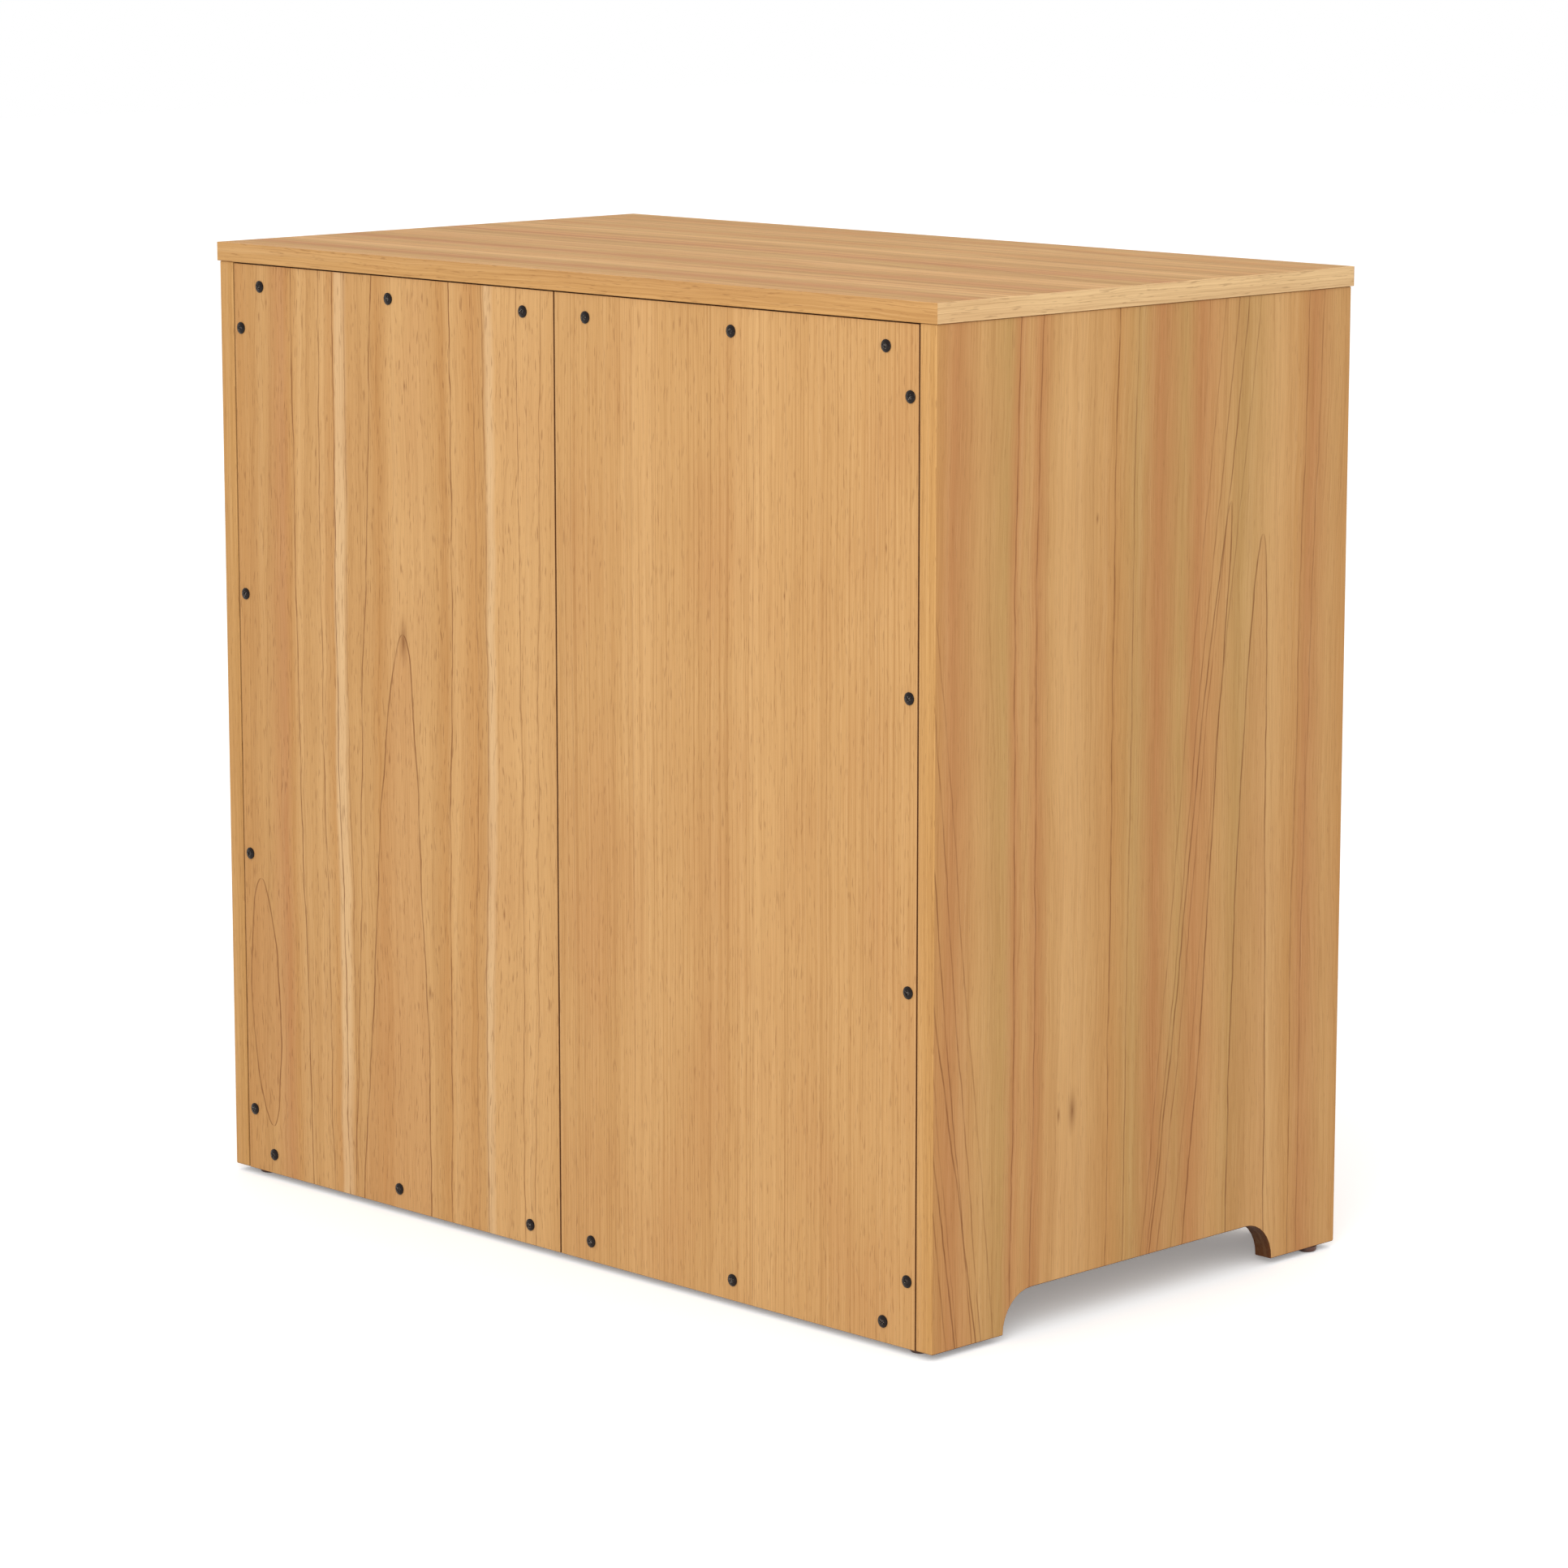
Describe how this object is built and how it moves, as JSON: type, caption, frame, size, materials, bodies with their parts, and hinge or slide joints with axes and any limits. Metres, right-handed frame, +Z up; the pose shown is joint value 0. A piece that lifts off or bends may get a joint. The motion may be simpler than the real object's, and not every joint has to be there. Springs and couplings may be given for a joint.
{
  "type": "icebox cabinet",
  "caption": "Low wooden icebox-style cabinet with a thin top, arched feet, three framed doors on surface hinges, lever latches, shelves and floor glides.",
  "frame": {"origin": "on the floor, under the centre of the overall box", "axes": "+Z up, -Y towards the doors, +X to the right seen from the front"},
  "size_m": [0.8, 0.4774, 0.767],
  "materials": {
    "veneer": "honey-toned natural veneer, satin lacquer",
    "solid_wood": "honey-toned solid wood, satin lacquer",
    "hardware": "aged brass, worn bright on the edges",
    "glide": "dark brown moulded plastic"
  },
  "bodies": {
    "cabinet": {"top_panel": "veneer", "left_side_panel": "veneer", "right_side_panel": "veneer", "bottom_panel": "veneer", "centre_partition": "veneer", "left_back_panel": "veneer", "right_back_panel": "veneer", "rear_top_rail": "veneer", "rear_base_rail": "veneer", "left_rear_batten": "veneer", "right_rear_batten": "veneer", "ice_shelf": "veneer", "upper_shelf": "veneer", "lower_shelf": "veneer", "left_front_stile": "solid_wood", "right_front_stile": "solid_wood", "centre_front_stile": "solid_wood", "front_top_rail": "solid_wood", "front_mid_rail": "solid_wood", "front_base_rail": "solid_wood", "front_left_glide": "glide", "front_right_glide": "glide", "rear_left_glide": "glide", "rear_right_glide": "glide", "ice_door_upper_frame_leaf": "hardware", "ice_door_lower_frame_leaf": "hardware", "ice_door_keeper": "hardware", "lower_door_upper_frame_leaf": "hardware", "lower_door_lower_frame_leaf": "hardware", "lower_door_keeper": "hardware", "tall_door_upper_frame_leaf": "hardware", "tall_door_lower_frame_leaf": "hardware", "tall_door_keeper": "hardware"},
    "ice_door": {"ice_door_hinge_stile": "solid_wood", "ice_door_latch_stile": "solid_wood", "ice_door_top_rail": "solid_wood", "ice_door_bottom_rail": "solid_wood", "ice_door_panel": "solid_wood", "ice_door_upper_door_leaf": "hardware", "ice_door_lower_door_leaf": "hardware", "ice_door_latch_base": "hardware"},
    "ice_door_lever": {"ice_door_lever": "hardware"},
    "lower_door": {"lower_door_hinge_stile": "solid_wood", "lower_door_latch_stile": "solid_wood", "lower_door_top_rail": "solid_wood", "lower_door_bottom_rail": "solid_wood", "lower_door_panel": "solid_wood", "lower_door_upper_door_leaf": "hardware", "lower_door_lower_door_leaf": "hardware", "lower_door_latch_base": "hardware"},
    "lower_door_lever": {"lower_door_lever": "hardware"},
    "tall_door": {"tall_door_hinge_stile": "solid_wood", "tall_door_latch_stile": "solid_wood", "tall_door_top_rail": "solid_wood", "tall_door_bottom_rail": "solid_wood", "tall_door_panel": "solid_wood", "tall_door_upper_door_leaf": "hardware", "tall_door_lower_door_leaf": "hardware", "tall_door_latch_base": "hardware"},
    "tall_door_lever": {"tall_door_lever": "hardware"}
  },
  "joints": [
    {"name": "ice_door_hinge", "type": "hinge", "parent": "cabinet", "child": "ice_door", "pos_m": [-0.3472, -0.22155, 0.6067], "axis": [0, 0, -1], "range_deg": [0, 175]},
    {"name": "ice_door_lever_pivot", "type": "hinge", "parent": "ice_door", "child": "ice_door_lever", "pos_m": [-0.03, -0.23175, 0.6067], "axis": [0, 0, 1], "range_deg": [0, 30]},
    {"name": "lower_door_hinge", "type": "hinge", "parent": "cabinet", "child": "lower_door", "pos_m": [-0.3472, -0.22155, 0.26435], "axis": [0, 0, -1], "range_deg": [0, 175]},
    {"name": "lower_door_lever_pivot", "type": "hinge", "parent": "lower_door", "child": "lower_door_lever", "pos_m": [-0.03, -0.23175, 0.26435], "axis": [0, 0, 1], "range_deg": [0, 30]},
    {"name": "tall_door_hinge", "type": "hinge", "parent": "cabinet", "child": "tall_door", "pos_m": [0.3472, -0.22155, 0.38935], "axis": [0, 0, 1], "range_deg": [0, 175]},
    {"name": "tall_door_lever_pivot", "type": "hinge", "parent": "tall_door", "child": "tall_door_lever", "pos_m": [0.03, -0.23175, 0.38935], "axis": [0, 0, -1], "range_deg": [0, 30]}
  ]
}
